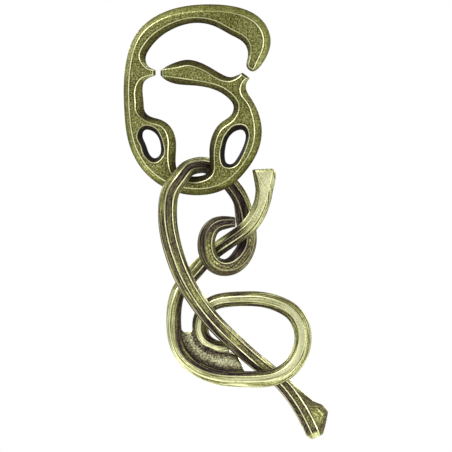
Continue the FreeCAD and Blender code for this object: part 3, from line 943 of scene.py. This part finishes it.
OLIVE_STOPS = [(0.0, CREAM), (0.24, LIGHT_OLIVE), (0.50, OLIVE), (0.74, DARK_OLIVE), (0.98, SOOT)]
BROWN_STOPS = [
    (0.0, CREAM), (0.26, LIGHT_OLIVE), (0.48, OLIVE), (0.68, VIOLET_BROWN), (0.94, VIOLET_SOOT),
]
BRIGHT_STOPS = [
    (0.0, CREAM), (0.12, PALE), (0.34, BRIGHT_OLIVE), (0.60, OLIVE), (0.80, VIOLET_BROWN),
    (1.0, VIOLET_SOOT),
]
WEB_STOPS = [
    (0.0, CREAM), (0.20, PALE_GREY), (0.48, GREY_OLIVE), (0.74, VIOLET_BROWN), (0.98, VIOLET_SOOT),
]

# The brass's patterns.  Places are in metres, and the lay is in millimetres.
CLOUD_SCALE = 170.0
STIPPLE_SCALE = 2300.0
STREAK_STRETCH = (0.11, 2.3, 0.0)   # streaks are long along the lay and narrow across it
# How far each pattern shifts the patina.
CLOUD_SHIFT = 0.5
STIPPLE_SHIFT = 0.35      # on smooth faces, before what sand adds
STREAK_LEFT = 0.4         # the share of the streaks that shows on sandy faces too
# Spreads, each as from, to, and the values there.  The line of grime by the distance from an
# arris, and its amount by the streaks.
GRIME_START = (0.18, 0.30, 0.0, 1.0)
GRIME_END = (0.36, 0.60, 1.0, 0.0)
GRIME_BY_STREAKS = (0.35, 0.6, 0.05, 0.45)
# The bright line of rubbing and painted highlight by the distance from an arris, its raggedness,
# and its strength by the clouds.
WEAR_AND_HIGHLIGHT_LINE = (0.06, 0.24, 1.0, 0.0)
WEAR_AND_HIGHLIGHT_RAGGED = 0.35
WEAR_AND_HIGHLIGHT_BY_CLOUDS = (0.30, 0.55, 0.55, 1.1)
# Gloss by the patina and painted shade that are left after the rubbing and painted highlight.
ROUGHNESS = (0.0, 1.0, 0.34, 0.58)
METALLIC = (0.55, 1.0, 1.0, 0.5)
SPECULAR = (0.6, 1.0, 0.5, 0.12)
SPECULAR_TINT = (0.45, 0.95, 1.0, 0.1)
# The fine bump: stipple, what sand adds to it, and streaks.
BUMP_STIPPLE = 0.2
BUMP_SAND = 0.8
BUMP_STREAKS = 0.5
BUMP_STRENGTH = 0.6
BUMP_DEPTH = 0.00008


def antique_brass(name, stops, streak, stippling):
    """Cast brass with a dark patina in its grain, rubbed bright along its arrises with a painted
    highlight there; its patina attribute also brings painted shade.
    """
    material = bpy.data.materials.new(name)
    material.use_nodes = True
    nodes = Nodes(material.node_tree)
    place = nodes.add("ShaderNodeTexCoord").outputs["Object"]
    patina_and_shade = nodes.attribute("patina_and_shade")
    sand = nodes.attribute("sand")
    glint = nodes.attribute("glint")
    arris = nodes.attribute("arris")
    lay = nodes.attribute("lay", "Vector")

    cloud = nodes.noise(place, CLOUD_SCALE, 3.0)
    stipple = nodes.noise(place, STIPPLE_SCALE, 2.0, 0.7)
    along = nodes.add(
        "ShaderNodeVectorMath", {0: lay, 1: STREAK_STRETCH}, operation="MULTIPLY"
    ).outputs[0]
    streaks = nodes.noise(along, 1.0, 3.0, 0.65)

    # Patina, which holds painted shade too: its place on the casting, broken up by clouds, grain
    # and rubbing marks
    smoothness = nodes.math("SUBTRACT", 1.0, sand)
    stippled = nodes.scaled(stipple, nodes.fma(sand, stippling, STIPPLE_SHIFT))
    streaked = nodes.scaled(streaks, nodes.fma(smoothness, streak, streak * STREAK_LEFT))
    amount = nodes.sum(patina_and_shade, nodes.scaled(cloud, CLOUD_SHIFT))
    amount = nodes.sum(nodes.sum(amount, stippled), streaked)

    # A dark line of grime lies just off each arris
    grime = nodes.product(nodes.spread(arris, *GRIME_START), nodes.spread(arris, *GRIME_END))
    grime = nodes.product(grime, nodes.spread(streaks, *GRIME_BY_STREAKS))
    amount = nodes.sum(amount, nodes.product(grime, glint), clamp=True)
    colour = nodes.ramp(amount, stops)

    # Arrises rubbed bright, with a painted highlight: cream mixed in along them
    reach = nodes.math("SUBTRACT", arris, nodes.scaled(stipple, WEAR_AND_HIGHLIGHT_RAGGED))
    wear_and_highlight = nodes.product(nodes.spread(reach, *WEAR_AND_HIGHLIGHT_LINE), glint)
    wear_and_highlight = nodes.product(wear_and_highlight, nodes.spread(cloud, *WEAR_AND_HIGHLIGHT_BY_CLOUDS), clamp=True)
    mixed = nodes.add(
        "ShaderNodeMix", {0: wear_and_highlight, 6: colour, 7: (*CREAM, 1.0)}, data_type="RGBA"
    ).outputs[2]

    dull = nodes.product(amount, nodes.math("SUBTRACT", 1.0, wear_and_highlight))
    height = nodes.product(stipple, nodes.fma(sand, BUMP_SAND, BUMP_STIPPLE))
    height = nodes.sum(height, nodes.product(streaks, BUMP_STREAKS))
    bump = nodes.add(
        "ShaderNodeBump", {"Strength": BUMP_STRENGTH, "Distance": BUMP_DEPTH, "Height": height}
    )
    shader = nodes.add(
        "ShaderNodeBsdfPrincipled",
        {"Base Color": mixed,
         "Normal": bump.outputs[0],
         "Roughness": nodes.spread(dull, *ROUGHNESS),
         "Metallic": nodes.spread(dull, *METALLIC),
         "Specular IOR Level": nodes.spread(dull, *SPECULAR),
         "Specular Tint": nodes.spread(dull, *SPECULAR_TINT)},
    )
    nodes.add("ShaderNodeOutputMaterial", {"Surface": shader.outputs[0]})
    return material


FLOOR_STOPS = [(0.3, (0.86, 0.86, 0.85)), (0.7, (0.90, 0.90, 0.89))]


def floor_material():
    """Matt pale paint with a faint mottle."""
    material = bpy.data.materials.new("pale_floor")
    material.use_nodes = True
    nodes = Nodes(material.node_tree)
    place = nodes.add("ShaderNodeTexCoord").outputs["Object"]
    colour = nodes.ramp(nodes.noise(place, 30.0, 4.0), FLOOR_STOPS)
    shader = nodes.add("ShaderNodeBsdfPrincipled", {"Base Color": colour, "Roughness": 0.8})
    nodes.add("ShaderNodeOutputMaterial", {"Surface": shader.outputs[0]})
    return material


# Studio, in metres

FLOOR_RADIUS = 0.55
FLOOR_DROP = 0.08         # the puzzle hangs this far above the floor
CAMERA_DISTANCE = 1.0
SENSOR_WIDTH = 36.0       # in millimetres, as Blender has it
VIEW_WIDTH = 0.11752      # width of the picture at the puzzle
VIEW_CENTRE = (0.00676, -0.05265)
LIGHT_SIZE = 0.30
# Each light's name, place and power.
LIGHTS = [
    ("key", (-0.30, -0.42, 0.40), 2.9),
    ("fill", (0.45, -0.40, 0.05), 0.8),
    ("back_left", (-0.35, 0.45, 0.25), 2.4),
    ("back_right", (0.40, 0.40, 0.20), 1.6),
]
# The world in reflections, as spreads: from beside the puzzle to before and behind it, and from
# below to above.
BESIDE_TO_BEHIND = (0.55, 0.95, 1.0, 0.62)
BELOW_TO_ABOVE = (-0.8, 0.8, 0.55, 1.1)
WORLD_STRENGTH = 0.85
WARM_WHITE = (1.0, 1.0, 0.97, 1.0)
WHITE = (1.0, 1.0, 1.0, 1.0)


def make_floor():
    """A round pale floor under the hanging puzzle."""
    bpy.ops.mesh.primitive_circle_add(vertices=128, radius=FLOOR_RADIUS, fill_type="NGON")
    floor = bpy.context.object
    floor.name = "floor"
    floor.location = (VIEW_CENTRE[0], 0, cad_low.z - FLOOR_DROP)
    floor.data.materials.append(floor_material())


def make_camera():
    """A long lens level with the puzzle and square to its front."""
    data = bpy.data.cameras.new("camera")
    data.sensor_width = SENSOR_WIDTH
    data.lens = SENSOR_WIDTH * CAMERA_DISTANCE / VIEW_WIDTH
    data.clip_start = 0.01
    data.clip_end = 20.0
    camera = bpy.data.objects.new("camera", data)
    camera.location = (VIEW_CENTRE[0], -CAMERA_DISTANCE, VIEW_CENTRE[1])
    camera.rotation_euler = (math.radians(90), 0, 0)
    bpy.context.scene.collection.objects.link(camera)
    bpy.context.scene.camera = camera


def make_light(name, place, power):
    """A soft square light that looks at the puzzle."""
    data = bpy.data.lights.new(name, "AREA")
    data.shape = "SQUARE"
    data.size = LIGHT_SIZE
    data.energy = power
    light = bpy.data.objects.new(name, data)
    light.location = place
    target = Vector((VIEW_CENTRE[0], 0, VIEW_CENTRE[1]))
    light.rotation_euler = (target - light.location).to_track_quat("-Z", "Y").to_euler()
    light.visible_camera = False
    bpy.context.scene.collection.objects.link(light)


def make_world():
    """White to the eye; in reflections bright beside the puzzle and dim before and behind it."""
    world = bpy.data.worlds.new("studio")
    world.use_nodes = True
    nodes = Nodes(world.node_tree)
    direction = nodes.add("ShaderNodeTexCoord").outputs["Generated"]
    parts = nodes.add("ShaderNodeSeparateXYZ", {0: direction})
    beside = nodes.spread(nodes.math("ABSOLUTE", parts.outputs[1]), *BESIDE_TO_BEHIND)
    above = nodes.spread(parts.outputs[2], *BELOW_TO_ABOVE)
    strength = nodes.product(nodes.product(beside, above), WORLD_STRENGTH)
    seen = nodes.add("ShaderNodeBackground", {"Color": WHITE, "Strength": 1.0})
    around = nodes.add("ShaderNodeBackground", {"Color": WARM_WHITE, "Strength": strength})
    direct = nodes.add("ShaderNodeLightPath").outputs["Is Camera Ray"]
    both = nodes.add("ShaderNodeMixShader", {0: direct, 1: around.outputs[0], 2: seen.outputs[0]})
    nodes.add("ShaderNodeOutputWorld", {"Surface": both.outputs[0]})
    bpy.context.scene.world = world


def place_piece(piece, material, body, node):
    """Gives a piece its finish, ties it to the CAD body that it stands for, and hides the CAD node
    that it replaces.
    """
    piece.data.materials.append(material)
    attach(piece, body)
    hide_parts(node)


def main():
    make_camera()
    make_world()
    make_floor()
    for name, place, power in LIGHTS:
        make_light(name, place, power)

    ring_brass = antique_brass("ring_brass", OLIVE_STOPS, streak=0.3, stippling=1.8)
    hook_brass = antique_brass("hook_brass", BROWN_STOPS, streak=1.7, stippling=1.3)
    spiral_brass = antique_brass("spiral_brass", BRIGHT_STOPS, streak=2.2, stippling=1.3)
    web_brass = antique_brass("web_brass", WEB_STOPS, streak=0.6, stippling=1.7)
    place_piece(ring_plate(), ring_brass, "ring", "ring_plate")
    place_piece(hook_bar(), hook_brass, "hook", "hook_bar")
    place_piece(spiral_bar(), spiral_brass, "spiral", "spiral_bar")
    place_piece(web(), web_brass, "spiral", "spiral_bar")

    bpy.context.scene.view_settings.view_transform = "Standard"


main()
